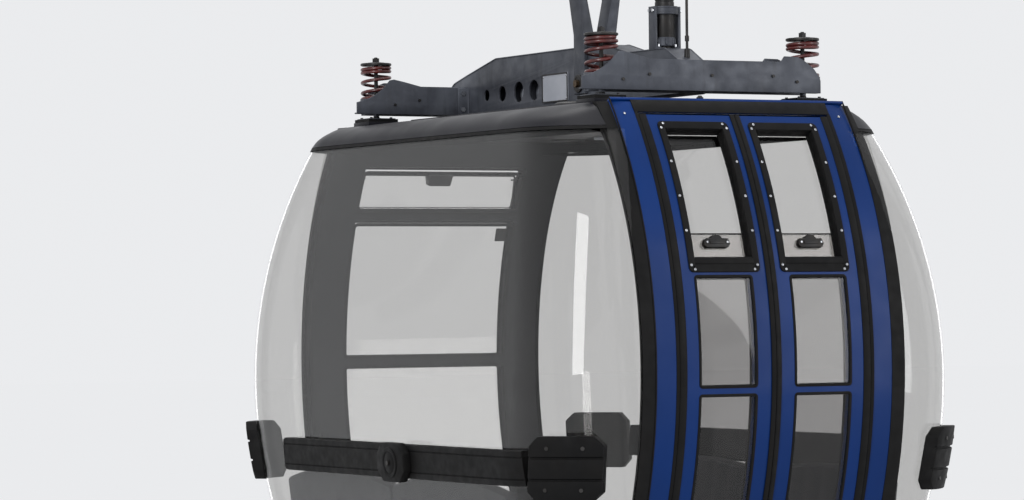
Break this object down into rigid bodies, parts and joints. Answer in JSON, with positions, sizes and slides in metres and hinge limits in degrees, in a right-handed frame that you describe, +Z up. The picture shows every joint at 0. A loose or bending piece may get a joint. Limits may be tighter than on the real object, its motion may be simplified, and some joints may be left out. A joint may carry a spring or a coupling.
{
  "type": "cable car cabin",
  "caption": "Enclosed ropeway cabin with glazed ends, a sliding pair of swing doors, a sprung roof frame, a cranked hanger and a rope grip.",
  "frame": {"origin": "axis of the haul rope in the grip's jaws, midway along them", "axes": "+X along the rope, -Y towards the door side, +Z up"},
  "size_m": [1.6484, 2.438, 4.468],
  "materials": {
    "blue_paint": "satin powder coat, deep blue",
    "anthracite_paint": "satin powder coat, anthracite",
    "roof_grey": "glossy moulded shell, dark grey",
    "black_rubber": "matt black rubber",
    "clear_pane": "clear hard-coated acrylic",
    "pan_alloy": "brushed alloy",
    "seat_shell": "textured dark grey",
    "zinc": "hot-dip galvanised, mottled",
    "spring_red": "dark red coating",
    "dark_steel": "black oxide and grease",
    "bright_steel": "machined, bright",
    "grip_paint": "grey casting paint",
    "roller_nylon": "dark polyamide tyre",
    "plate_white": "blank plate, off-white"
  },
  "bodies": {
    "grip": {"grip_body": "grip_paint", "jaw_fixed": "zinc", "jaw_moving": "zinc", "spring_pots": "dark_steel", "closing_lever": "grip_paint", "roller_axles": "bright_steel", "hanger_pin": "bright_steel"},
    "roller_left": {"running_roller_left": "roller_nylon"},
    "roller_right": {"running_roller_right": "roller_nylon"},
    "cabin": {"hanger_arm": "zinc", "hanger_foot": "zinc", "hanger_foot_pin": "bright_steel", "sway_damper": "dark_steel", "damper_bracket": "zinc", "damper_arm": "zinc", "door_cable": "dark_steel", "frame_spine": "zinc", "frame_beam_door": "zinc", "frame_beam_back": "zinc", "springs": "spring_red", "spring_stems": "dark_steel", "roof_pads": "black_rubber", "number_plate": "plate_white", "roof_shell": "roof_grey", "floor_pan": "pan_alloy", "door_portal": "blue_paint", "back_frame": "anthracite_paint", "back_panes": "clear_pane", "back_vent": "clear_pane", "glass_rubber_left": "black_rubber", "glass_rubber_right": "black_rubber", "end_glass_left": "clear_pane", "end_glass_right": "clear_pane", "bumper_rail_left": "black_rubber", "bumper_rail_right": "black_rubber", "rail_cap_left": "black_rubber", "rail_cap_right": "black_rubber", "corner_blocks": "black_rubber", "seat_left": "seat_shell", "seat_right": "seat_shell", "backrests_left": "seat_shell", "backrests_right": "seat_shell", "bench_frame_left": "pan_alloy", "bench_frame_right": "pan_alloy", "arm_bearings": "dark_steel"},
    "swing_right_a": {"swing_arm_right_a": "dark_steel"},
    "swing_right_b": {"swing_arm_right_b": "dark_steel"},
    "door_right": {"door_leaf_right": "blue_paint", "door_sash_right": "black_rubber", "door_panes_right": "clear_pane", "sash_latch_right": "dark_steel", "door_foot_right": "dark_steel"},
    "swing_left_a": {"swing_arm_left_a": "dark_steel"},
    "swing_left_b": {"swing_arm_left_b": "dark_steel"},
    "door_left": {"door_leaf_left": "blue_paint", "door_sash_left": "black_rubber", "door_panes_left": "clear_pane", "sash_latch_left": "dark_steel", "door_foot_left": "dark_steel"}
  },
  "joints": [
    {"name": "hanger_swing", "type": "hinge", "parent": "grip", "child": "cabin", "pos_m": [0, 0.19, -0.078], "axis": [0, 1, 0], "range_deg": [-35, 35]},
    {"name": "roller_spin_left", "type": "hinge", "parent": "grip", "child": "roller_left", "pos_m": [-0.1, 0.08, 0.192], "axis": [0, 1, 0], "continuous": true},
    {"name": "roller_spin_right", "type": "hinge", "parent": "grip", "child": "roller_right", "pos_m": [0.1, 0.08, 0.192], "axis": [0, 1, 0], "continuous": true},
    {"name": "door_swing_right", "type": "hinge", "parent": "cabin", "child": "swing_right_a", "pos_m": [0.272, -0.77747, -4.198], "axis": [0, 0, 1], "range_deg": [0, 143]},
    {"name": "door_guide_right", "type": "hinge", "parent": "cabin", "child": "swing_right_b", "pos_m": [0.412, -0.82747, -4.198], "axis": [0, 0, 1], "range_deg": [0, 143]},
    {"name": "door_level_right", "type": "hinge", "parent": "swing_right_a", "child": "door_right", "pos_m": [0.07212, -0.78445, -4.198], "axis": [0, 0, 1], "range_deg": [-143, 0]},
    {"name": "door_swing_left", "type": "hinge", "parent": "cabin", "child": "swing_left_a", "pos_m": [-0.272, -0.77747, -4.198], "axis": [0, 0, -1], "range_deg": [0, 143]},
    {"name": "door_guide_left", "type": "hinge", "parent": "cabin", "child": "swing_left_b", "pos_m": [-0.412, -0.82747, -4.198], "axis": [0, 0, -1], "range_deg": [0, 143]},
    {"name": "door_level_left", "type": "hinge", "parent": "swing_left_a", "child": "door_left", "pos_m": [-0.07212, -0.78445, -4.198], "axis": [0, 0, -1], "range_deg": [-143, 0]}
  ],
  "couplings": [
    {"joint": "door_guide_right", "follows": "door_swing_right", "ratio": 1},
    {"joint": "door_level_right", "follows": "door_swing_right", "ratio": -1},
    {"joint": "door_guide_left", "follows": "door_swing_left", "ratio": 1},
    {"joint": "door_level_left", "follows": "door_swing_left", "ratio": -1}
  ]
}
